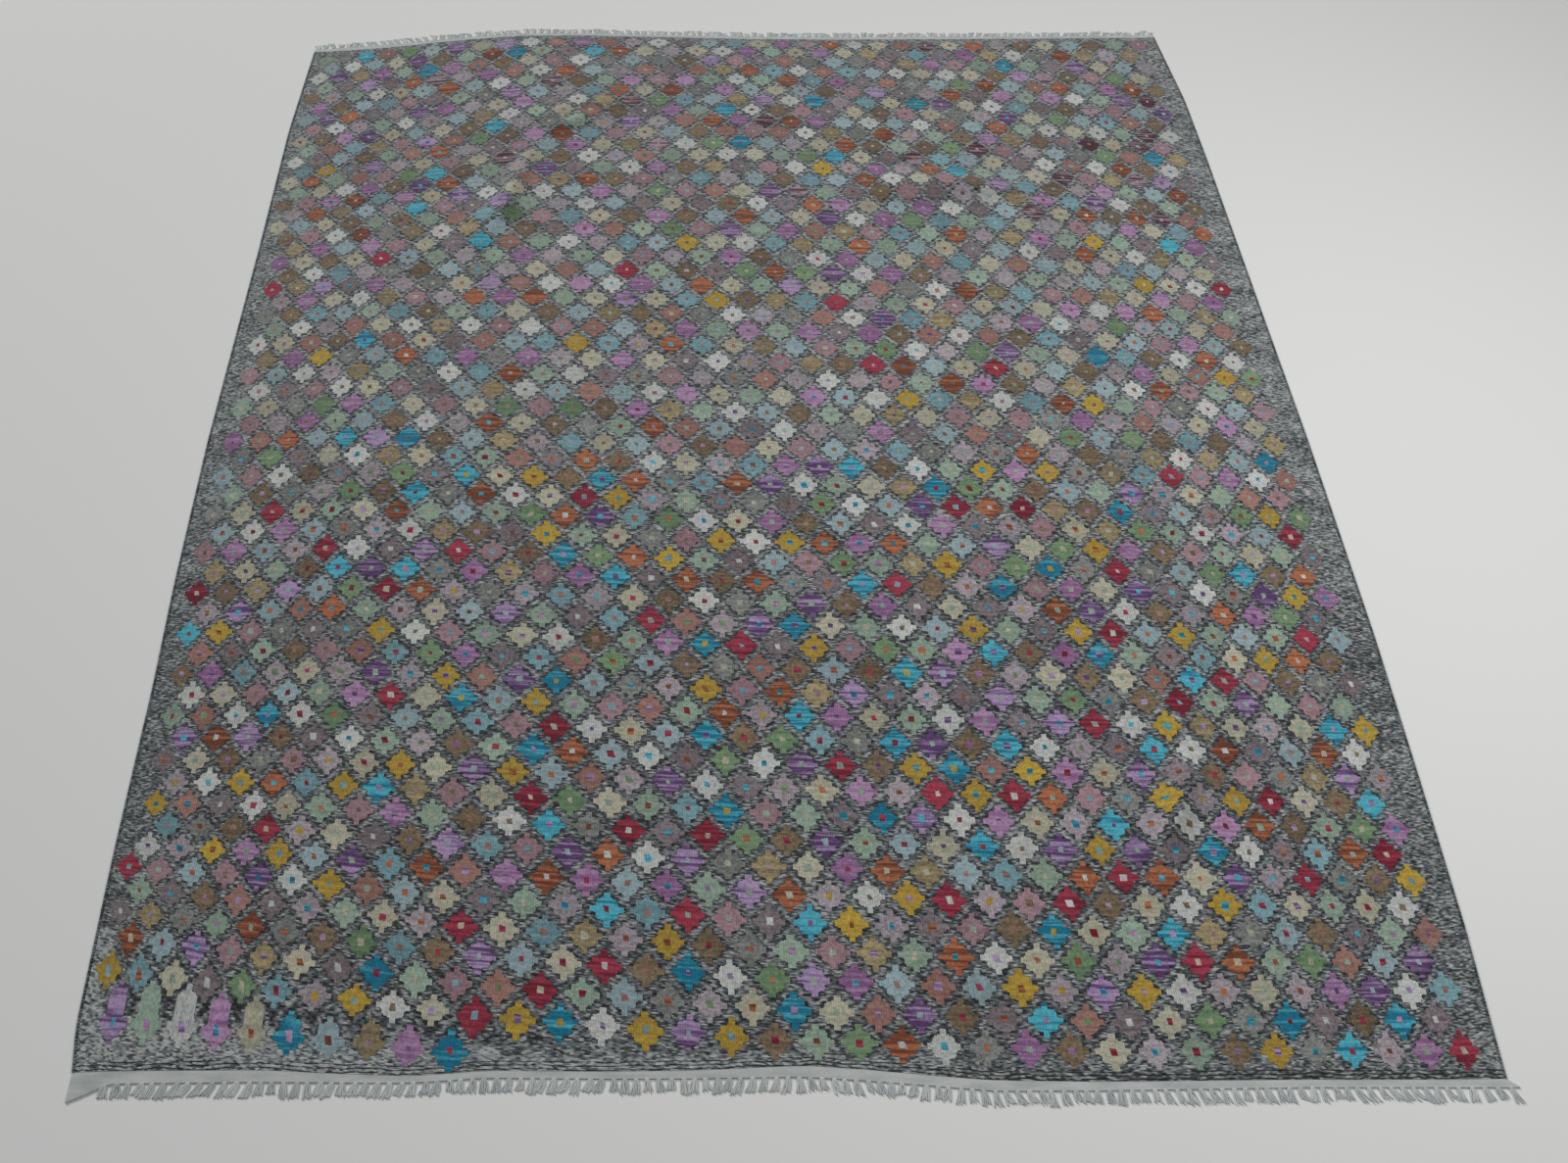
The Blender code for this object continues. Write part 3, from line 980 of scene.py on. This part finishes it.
def heather_wool():
    """Undyed wool, black and white fleece carded together, spun by hand and flat woven.

    Each weft runs dark and light by turns, which gives the eye a fine grain of level flecks. The
    wefts are drawn 2.7 mm thick, as the real ones are finer than the picture shows. The paler
    patches are another batch of the yarn. Beside a motif's outline the ground is painted darker,
    as painted shadow of the slits.

    The shade map holds how much paler wool there is and how far the far end is. The rim map holds
    how far the near end and the closer selvedge are.
    """
    material, add, shader = start_material("heather wool, hand spun and flat woven")
    weave = add("UVMap", uv_map="weave")
    along_weft, along_warp, _ = add("SeparateXYZ", weave).outputs
    pale, from_far, _ = add("SeparateXYZ", add("UVMap", uv_map="shade")).outputs
    from_near, from_side, _ = add("SeparateXYZ", add("UVMap", uv_map="rim")).outputs

    # The wefts wander a little, as beaten by hand
    wander = add("VectorMath", weave, WANDER_PER_METRE, operation="MULTIPLY")
    wobble = add("TexNoise", Vector=wander, Scale=1.0, Detail=1.0)
    weft = add("Math", along_warp, 1 / (WEFT_SPACING * MM), operation="MULTIPLY")
    bent = add("Math", wobble, WEFT_WANDER, weft, operation="MULTIPLY_ADD")
    rows_in = add("Math", wobble, LAST_WOOL_WANDER, from_near, operation="MULTIPLY_ADD")

    grain, clumps = heather_grain(add, along_weft, bent)
    tone = heather_batches(add, grain, weave, along_warp, from_side)
    tone = paler_wool(add, tone, wobble, pale, rows_in, along_weft)
    # Painted slit shadow beside the motifs' outlines
    tone = painted_slit_shadow(add, tone, weave, from_near, from_far, from_side)
    tone = black_wefts(add, tone, rows_in, from_near, clumps)
    dark_stops = ((0.11, "#1A1C1E"), (0.34, "#43474A"), (0.54, "#757979"))
    light_stops = ((0.74, "#A5A9A8"), (0.98, "#BEC0BC"))
    ramp = add("ValToRGB", tone, stops=dark_stops + light_stops)

    # Each weft is a round bead between two warps
    beads = add("Math", bent, math.pi, operation="MULTIPLY")
    bead = add("Math", beads, operation="SINE")
    round_bead = add("Math", bead, operation="ABSOLUTE")
    height = add("Math", round_bead, 0.6, grain, operation="MULTIPLY_ADD")
    bump = add("Bump", Strength=0.6, Distance=0.6 * MM, Height=height)
    as_fibre(shader, ramp, bump)
    return material


def selvedge_wool():
    """The same heather wool wrapped round the edge warps: dark and pale turns, 3 mm apart."""
    material, add, shader = start_material("heather wool, wrapped selvedge")
    around, along, _ = add("SeparateXYZ", add("UVMap", uv_map="weave")).outputs
    turn = add("Math", along, 1 / (SELVEDGE_TURN * MM), operation="MULTIPLY")
    slant = add("Math", around, turn, operation="ADD")
    number = add("Math", slant, operation="FLOOR")
    chance = add("TexWhiteNoise", W=number, noise_dimensions="1D")
    long_run = add("TexNoise", W=along, Scale=WRAPPING_PER_METRE, noise_dimensions="1D")
    tone = add("Math", chance, 0.6, long_run, operation="MULTIPLY_ADD")
    ramp = add("ValToRGB", tone, stops=((0.3, "#232629"), (0.7, "#3F4447"), (1.1, "#6C7174")))
    wave = add("Math", slant, math.pi, operation="MULTIPLY")
    bead = add("Math", wave, operation="SINE")
    bump = add("Bump", Strength=0.6, Distance=0.6 * MM, Height=bead)
    as_fibre(shader, ramp, bump)
    return material


def dyed_wool(dye, colours):
    """Vegetable-dyed wool weft packed over cotton warps, as in slit tapestry.

    The warps give the eye fine upright ribs, at the warps' spacing, with painted shade in the
    grooves between them. The dye took unevenly in the hank, so the streaky dyes show level bands
    of pale and deep yarn, and the flecked ones hold some heather fleece. The flecks are drawn two
    wefts thick, as finer ones would be lost.
    """
    streaky, flecked = DYES[dye][2:4]
    material, add, shader = start_material(f"{dye.replace('_', ' ')} wool, slit tapestry")
    pale = (*getattr(colours, f"{dye}_pale"), 1.0)
    deep = (*getattr(colours, f"{dye}_deep"), 1.0)
    weave = add("UVMap", uv_map="weave")
    along_weft = add("SeparateXYZ", weave).outputs[0]
    hank, tint, _ = add("SeparateXYZ", add("UVMap", uv_map="own")).outputs

    # Each motif was woven from its own stretch of the hank
    streak_size = per_metre(STREAK_LENGTH, STREAK_THICKNESS)
    stretched = add("VectorMath", weave, streak_size, operation="MULTIPLY")
    own_stretch = add("Math", hank, 40.0, operation="MULTIPLY")
    apart = add("CombineXYZ", Z=own_stretch)
    streak_at = add("VectorMath", stretched, apart, operation="ADD")
    streaks = add("TexNoise", Vector=streak_at, Scale=1.0, Detail=2.0)
    half_band = 0.26 - 0.22 * streaky
    shift = add("MapRange", tint, 0.0, 1.0, -0.10, 0.10)
    moved = add("Math", streaks, shift, operation="ADD")
    took = add("MapRange", moved, 0.5 - half_band, 0.5 + half_band)
    body = add("Mix", took, at={6: deep, 7: pale}, data_type="RGBA")

    # Ribs over the warps, the fuzz of the fibres, and flecks of heather fleece. The ribs are also painted
    # into the colour: painted shade in the grooves between them.
    ribs_at = add("Math", along_weft, math.pi / (WARP_SPACING * MM), operation="MULTIPLY")
    rib = add("Math", ribs_at, operation="SINE")
    ribs = add("Math", rib, operation="ABSOLUTE")
    fuzz_at = add("VectorMath", weave, FUZZ_PER_METRE, operation="MULTIPLY")
    fuzz = add("TexNoise", Vector=fuzz_at, Scale=1.0, Detail=2.0)
    tone = add("MapRange", tint, 0.0, 1.0, 0.83, 0.97)
    rib_groove_shade = add("Math", ribs, 0.18, tone, operation="MULTIPLY_ADD")
    speck = add("MapRange", fuzz, 0.3, 0.7, -0.14, 0.14)
    specked = add("Math", rib_groove_shade, speck, operation="ADD")
    fleck_at = add("VectorMath", weave, per_metre(*WOOL_FLECK), operation="MULTIPLY")
    fleck = add("VectorMath", fleck_at, operation="FLOOR")
    fleeces = add("TexWhiteNoise", Vector=fleck, noise_dimensions="2D")
    strength = 0.13 + 0.19 * flecked
    flecks = add("MapRange", fleeces, 0.0, 1.0, -strength, strength)
    value = add("Math", specked, flecks, operation="ADD")
    coloured = add("HueSaturation", Value=value, Color=body.outputs[2])

    height = add("Math", fuzz, 0.5, ribs, operation="MULTIPLY_ADD")
    bump = add("Bump", Strength=0.55, Distance=0.6 * MM, Height=height)
    as_fibre(shader, coloured, bump)
    return material


def bleached_cotton():
    """Bleached cotton in plain weave: a flat cream band of small beads, a little grey with dust."""
    material, add, shader = start_material("bleached cotton, plain woven")
    weave = add("UVMap", uv_map="weave")
    across, along, _ = add("SeparateXYZ", weave).outputs
    over = add("Math", across, math.pi / (COTTON_WARP * MM), operation="MULTIPLY")
    under = add("Math", along, math.pi / (COTTON_WEFT * MM), operation="MULTIPLY")
    warp = add("Math", over, operation="SINE")
    weft = add("Math", under, operation="SINE")
    bead = add("Math", warp, weft, operation="MULTIPLY")
    dust_at = add("VectorMath", weave, DUST_PER_METRE, operation="MULTIPLY")
    dust = add("TexNoise", Vector=dust_at, Scale=1.0, Detail=3.0)
    lint_at = add("VectorMath", weave, LINT_PER_METRE, operation="MULTIPLY")
    lint = add("TexNoise", Vector=lint_at, Scale=1.0, Detail=1.0)
    tone = add("Math", lint, 0.35, dust, operation="MULTIPLY_ADD")
    ramp = add("ValToRGB", tone, stops=((0.35, "#A1A6A5"), (0.6, "#B7BBB8"), (0.9, "#CACDCA")))
    bump = add("Bump", Strength=0.5, Distance=0.5 * MM, Height=bead)
    as_fibre(shader, ramp, bump, 0.88)
    return material


def cotton_warp_yarn():
    """Plied cotton warp yarn, cut and tied: pale strands with a fine slanting twist."""
    material, add, shader = start_material("cotton warp yarn, plied")
    around, along, _ = add("SeparateXYZ", add("UVMap", uv_map="weave")).outputs
    shade = add("SeparateXYZ", add("UVMap", uv_map="own")).outputs[0]
    turns = add("Math", along, 2 * math.pi / (PLY_LENGTH * MM), operation="MULTIPLY")
    slant = add("Math", around, 4 * math.pi, turns, operation="MULTIPLY_ADD")
    ply = add("Math", slant, operation="SINE")
    # The twist is painted into the colour as well: painted shade in the grooves between the plies
    tone = add("Math", ply, 0.10, shade, operation="MULTIPLY_ADD")
    ramp = add("ValToRGB", tone, stops=((0.0, "#B0B8B9"), (0.5, "#C4CAC9"), (1.0, "#D6DAD8")))
    bump = add("Bump", Strength=0.4, Distance=0.3 * MM, Height=ply)
    as_fibre(shader, ramp, bump, 0.85)
    return material


def studio_floor():
    """Matt painted board: plain and pale, with no pattern of its own."""
    material, _, shader = start_material("matt painted floor")
    shader.inputs["Base Color"].default_value = (*linear(FLOOR_COLOUR), 1.0)
    shader.inputs["Roughness"].default_value = 0.85
    shader.inputs["Specular IOR Level"].default_value = 0.2
    return material


# ---------------------------------------------------------------- the ground cloth


def pale_amount(column, row):
    """How much paler heather there is at places of the lattice."""
    amount = np.zeros_like(column)
    for first_column, last_column, first_row, last_row, strength in PALE_PATCHES:
        inside = np.minimum(
            np.minimum(column - first_column, last_column - column),
            np.minimum(row - first_row, last_row - row),
        )
        amount = np.maximum(amount, strength * np.clip(0.5 + inside / PALE_EDGE, 0.0, 1.0))
    return amount


def make_ground_cloth():
    """The heather cloth: one fine closed sheet with the rug's uneven edges and low folds."""
    rows, columns = GROUND_CELLS_ALONG + 1, GROUND_CELLS_ACROSS + 1
    share_along, share_across = np.meshgrid(
        np.linspace(0, 1, rows), np.linspace(0, 1, columns), indexing="ij"
    )
    across, along = cloth_point(share_across, share_along)
    column, row = lattice_place(across, along)
    room = room_inside(across, along)
    from_side = np.minimum(room["left"], room["right"])
    maps = {
        "weave": weave_map(column, row),
        "shade": np.stack([pale_amount(column, row), room["far"] * MM], axis=-1),
        "rim": np.stack([room["near"], from_side], axis=-1) * MM,
        "OFBake": np.stack([share_across, share_along], axis=-1),
    }
    maps = {name: np.tile(values.reshape(-1, 2), (2, 1)) for name, values in maps.items()}
    points = layer_points(across, along, GROUND_LAYER)
    faces = slab_faces(rows, columns)
    cloth = add_piece("ground_cloth", points, faces, heather_wool(), maps)
    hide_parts("kilim_field")
    return cloth


# ---------------------------------------------------------------- headings, fringe, selvedges


def corner_flare(across, share, right):
    """How far the near heading and its tassels spread beyond the right corner of the wool."""
    near_corner = np.clip((across - right + FLARE_REACH) / FLARE_REACH, 0.0, 1.0)
    return FLARE * near_corner**2 * share


def corner_tail(across, share, left):
    """How far the near heading hangs out beyond its own depth at the left corner."""
    near_corner = np.clip((left + TAIL_REACH - across) / TAIL_REACH, 0.0, 1.0)
    return TAIL * near_corner * share


def end_of_cloth(outward):
    """The table of the cloth's end that lies outward, and its corners across."""
    table = NEAR_END if outward < 0 else FAR_END
    share = 0.0 if outward < 0 else 1.0
    corners = cloth_point(np.array([0.0, 1.0]), np.array([share, share]))[0]
    return table, corners


def make_heading(name, node, outward, material):
    """The plain cotton band that ends the weaving, from the wool to the roots of the fringe."""
    table, corners = end_of_cloth(outward)
    columns, rows = HEADING_CELLS + 1, HEADING_ROWS + 1
    share_across, share = np.meshgrid(np.linspace(0, 1, columns), np.linspace(0, 1, rows)[::outward])
    across = np.broadcast_to(np.linspace(*corners, columns), (rows, columns))
    inner = read_table(table, across[0], 1)
    depth = read_table(table, across[0], 2)
    along = inner + outward * depth * share
    if outward < 0:
        along = along - corner_tail(across, share, corners[0])
        across = across + corner_flare(across, share, corners[1])
    maps = {
        "weave": np.stack([across, along], axis=-1) * MM,
        "OFBake": np.stack([share_across, share], axis=-1),
    }
    maps = {map_name: np.tile(values.reshape(-1, 2), (2, 1)) for map_name, values in maps.items()}
    points = layer_points(across, along, HEADING_LAYER)
    heading = add_piece(name, points, slab_faces(rows, columns), material, maps)
    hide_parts(node)
    return heading


def tassel_yarn(root, outward, length, lean, fan, draw):
    """The line of one yarn: out of the knot, fanning and settling on to the floor."""
    share = np.linspace(0, 1, YARN_SECTIONS)
    wave = draw.uniform(-YARN_WAVE, YARN_WAVE) * np.sin(math.pi * share * draw.uniform(*YARN_WAVES))
    across = root[0] + lean * share**1.2 + fan * share**0.7 + wave
    along = root[1] + outward * length * share
    height = root[2] * (1 - share) ** 2 + YARN_REST
    return np.stack([across, along, height], axis=1)


def tie_tassel(middle, root, outward, length, lean, sizes, draw):
    """The tubes of one tassel: a knot, and the yarns that fan out from it."""
    shade = draw.random()
    runs, widths, heights = np.array(KNOT).T
    knot = [(middle, root + outward * run, KNOT_HEIGHT) for run in runs]
    tubes = [(knot, widths, heights, KNOT_SIDES, (shade, draw.random()))]
    start_run, start_height = YARN_START
    taper = np.linspace(1.0, YARN_TIP, YARN_SECTIONS) * (sizes.yarn_thickness / MM / 2)
    yarns = sizes.yarns_per_tassel + draw.choice((-1, 0, 0, 1))
    for strand in range(yarns):
        spread = (strand - (yarns - 1) / 2) / yarns
        start = (middle + ROOT_WIDTH * spread, root + outward * start_run, start_height)
        reach = length + YARN_EXTRA + draw.uniform(*YARN_UNEVEN)
        path = tassel_yarn(start, outward, reach, lean, FAN_WIDTH * spread, draw)
        own = (0.25 + 0.5 * shade + draw.uniform(-0.25, 0.25), draw.random())
        tubes.append((path, taper, taper * YARN_FLATNESS, YARN_SIDES, own))
    return tubes


def make_fringe(name, node, outward, plan, material, sizes):
    """Cotton warp ends tied in small bunches along one end of the rug."""
    repeat_draw = random.Random(plan["seed"])
    draw = random.Random(plan["seed"] + WEAVE_SEED)
    table, corners = end_of_cloth(outward)
    pitch = (plan["last"] - plan["first"]) / (TASSELS_PER_END - 1)
    tubes = []
    for k in range(TASSELS_PER_END):
        middle = plan["first"] + k * pitch + repeat_draw.uniform(-TASSEL_JITTER, TASSEL_JITTER)
        length = plan["length"] + repeat_draw.uniform(-1, 1) * plan["uneven"]
        lean = TASSEL_LEAN * math.sin(2 * math.pi * middle / LEAN_WAVE)
        lean += repeat_draw.uniform(-TASSEL_LEAN_JITTER, TASSEL_LEAN_JITTER)
        lean += CORNER_LEAN * middle / HALF_WIDTH + draw.uniform(-BUNCH_LEAN_JITTER, BUNCH_LEAN_JITTER)
        edge, depth = (read_table(table, np.array([middle]), each)[0] for each in (1, 2))
        root = edge + outward * (depth - ROOT_TUCK)
        if outward < 0:
            middle += corner_flare(middle, 1.0, corners[1])
        tubes += tie_tassel(middle, root, outward, length, lean, sizes, draw)
    fringe = add_tubes(name, tubes, material)
    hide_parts(node)
    return fringe


def make_selvedge(name, inward, material):
    """The edge cord: weft turned round the outer warps, a little thicker than the cloth."""
    share_along = np.linspace(0.0, 1.0, SELVEDGE_SECTIONS)
    share_across = np.full_like(share_along, 0.0 if inward > 0 else 1.0)
    across, along = cloth_point(share_across, share_along)
    across = across + inward * SELVEDGE_WIDTH * SELVEDGE_INSET
    height = cloth_lift(across, along) + SELVEDGE_MIDDLE
    path = np.stack([across, along, height], axis=1)
    wobble = 1 + SELVEDGE_WOBBLE * np.sin(np.arange(SELVEDGE_SECTIONS) * GOLDEN_ANGLE)
    half_width = wobble * SELVEDGE_WIDTH / 2
    half_height = np.full_like(wobble, SELVEDGE_HEIGHT / 2)
    cord = (path, half_width, half_height, SELVEDGE_SIDES, None)
    selvedge = add_tubes(name, [cord], material)
    return selvedge


# ---------------------------------------------------------------- operators


class KILIM_OT_weave_ground(bpy.types.Operator):
    """Weave the heather ground cloth with its folds"""

    bl_idname = "kilim.weave_ground"
    bl_label = "Weave the ground cloth"

    def execute(self, context):
        make_ground_cloth()
        return {"FINISHED"}


class KILIM_OT_weave_motifs(bpy.types.Operator):
    """Weave the stepped motifs and their centre squares, one piece for each dye"""

    bl_idname = "kilim.weave_motifs"
    bl_label = "Weave the motifs"

    def execute(self, context):
        sizes = context.scene.kilim_sizes
        column, row = motif_places()
        body, centre = choose_dyes(column, row)
        draw = np.random.default_rng(WEAVE_SEED)
        for dye in DYES:
            meshes = []
            for chosen, build in ((body, motif_mesh), (centre, centre_mesh)):
                places = [place for place, name in chosen.items() if name == dye]
                if places:
                    meshes.append(build(*np.array(places).T, sizes, draw))
            if not meshes:
                raise RuntimeError(f"no motif took the {dye} wool")
            points, faces, maps = join_meshes(meshes)
            material = dyed_wool(dye, context.scene.kilim_dyes)
            piece = add_piece(f"motifs_{dye}", points, faces, material, maps)
        return {"FINISHED"}


class KILIM_OT_weave_headings(bpy.types.Operator):
    """Weave the plain cotton heading at each end"""

    bl_idname = "kilim.weave_headings"
    bl_label = "Weave the headings"

    def execute(self, context):
        cotton = bleached_cotton()
        make_heading("heading_near_weave", "heading_near", -1, cotton)
        make_heading("heading_far_weave", "heading_far", 1, cotton)
        return {"FINISHED"}


class KILIM_OT_tie_fringes(bpy.types.Operator):
    """Tie the warp ends into tassels at each end"""

    bl_idname = "kilim.tie_fringes"
    bl_label = "Tie the fringes"

    def execute(self, context):
        sizes = context.scene.kilim_sizes
        yarn = cotton_warp_yarn()
        make_fringe("fringe_near_yarns", "fringe_near", -1, NEAR_TASSELS, yarn, sizes)
        make_fringe("fringe_far_yarns", "fringe_far", 1, FAR_TASSELS, yarn, sizes)
        return {"FINISHED"}


class KILIM_OT_bind_selvedges(bpy.types.Operator):
    """Wrap the edge cord of each long side"""

    bl_idname = "kilim.bind_selvedges"
    bl_label = "Bind the selvedges"

    def execute(self, context):
        wrapped = selvedge_wool()
        make_selvedge("selvedge_left", 1, wrapped)
        make_selvedge("selvedge_right", -1, wrapped)
        return {"FINISHED"}


class KILIM_OT_declare_cloth(bpy.types.Operator):
    """Does nothing: the ground cloth is not declared as a sheet here"""

    bl_idname = "kilim.declare_cloth"
    bl_label = "Declare the cloth"

    def execute(self, context):
        return {"FINISHED"}


class KILIM_OT_set_stage(bpy.types.Operator):
    """Set the pale floor, the soft light and the camera"""

    bl_idname = "kilim.set_stage"
    bl_label = "Set the stage"

    def execute(self, context):
        scene = context.scene
        add_floor()
        add_light("key light", KEY_PLACE, KEY_SIZE, KEY_POWER)
        fill_place = (*FILL_PLACE, scene.kilim_sizes.light_height)
        add_light("fill light", fill_place, FILL_SIZE, FILL_POWER)
        add_camera()
        world = bpy.data.worlds.new("studio")
        world.use_nodes = True
        sky = world.node_tree.nodes["Background"]
        sky.inputs["Color"].default_value = (*linear(SKY_COLOUR), 1.0)
        sky.inputs["Strength"].default_value = SKY_STRENGTH
        scene.world = world
        scene.view_settings.view_transform = "Standard"
        return {"FINISHED"}


def add_floor():
    """A wide plain floor under the rug."""
    half = FLOOR_SIZE / 2
    data = bpy.data.meshes.new("floor")
    corners = [(-half, -half, 0), (half, -half, 0), (half, half, 0), (-half, half, 0)]
    data.from_pydata(corners, [], [(0, 1, 2, 3)])
    data.materials.append(studio_floor())
    floor = bpy.data.objects.new("floor", data)
    bpy.context.scene.collection.objects.link(floor)


def add_light(name, place, size, power):
    """One soft square light, turned to the middle of the rug."""
    data = bpy.data.lights.new(name, "AREA")
    data.shape = "SQUARE"
    data.size = size
    data.energy = power
    light = bpy.data.objects.new(name, data)
    light.location = place
    light.rotation_euler = (-light.location).to_track_quat("-Z", "Y").to_euler()
    bpy.context.scene.collection.objects.link(light)


def add_camera():
    """The camera at the photograph's place and angle."""
    data = bpy.data.cameras.new("camera")
    data.sensor_width = CAMERA_SENSOR
    data.lens = CAMERA_LENS
    data.clip_end = CAMERA_REACH
    camera = bpy.data.objects.new("camera", data)
    turn = (
        Matrix.Rotation(math.radians(CAMERA_YAW), 4, "Z")
        @ Matrix.Rotation(math.radians(90 - CAMERA_DOWN), 4, "X")
        @ Matrix.Rotation(math.radians(CAMERA_ROLL), 4, "Z")
    )
    camera.matrix_world = Matrix.Translation(Vector(CAMERA_PLACE)) @ turn
    bpy.context.scene.collection.objects.link(camera)
    bpy.context.scene.camera = camera


OPERATORS = (
    KILIM_OT_weave_ground,
    KILIM_OT_weave_motifs,
    KILIM_OT_weave_headings,
    KILIM_OT_tie_fringes,
    KILIM_OT_bind_selvedges,
    KILIM_OT_declare_cloth,
    KILIM_OT_set_stage,
)


class KILIM_PT_panel(bpy.types.Panel):
    """The steps of weaving the rug, in order"""

    bl_label = "Kilim rug"
    bl_idname = "KILIM_PT_panel"
    bl_space_type = "VIEW_3D"
    bl_region_type = "UI"
    bl_category = "Kilim rug"

    def draw(self, context):
        for step in OPERATORS:
            self.layout.operator(step.bl_idname)
        for name in KilimSizes.__annotations__:
            self.layout.prop(context.scene.kilim_sizes, name)
        for name in KilimDyes.__annotations__:
            self.layout.prop(context.scene.kilim_dyes, name)


CLASSES = (KilimDyes, KilimSizes, *OPERATORS, KILIM_PT_panel)


def register():
    for each in CLASSES:
        bpy.utils.register_class(each)
    bpy.types.Scene.kilim_dyes = PointerProperty(type=KilimDyes)
    bpy.types.Scene.kilim_sizes = PointerProperty(type=KilimSizes)


def unregister():
    del bpy.types.Scene.kilim_sizes
    del bpy.types.Scene.kilim_dyes
    for each in reversed(CLASSES):
        bpy.utils.unregister_class(each)


def main():
    """Weave the rug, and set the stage."""
    register()
    for step in OPERATORS:
        group, name = step.bl_idname.split(".")
        getattr(getattr(bpy.ops, group), name)()


if __name__ == "__main__":
    main()
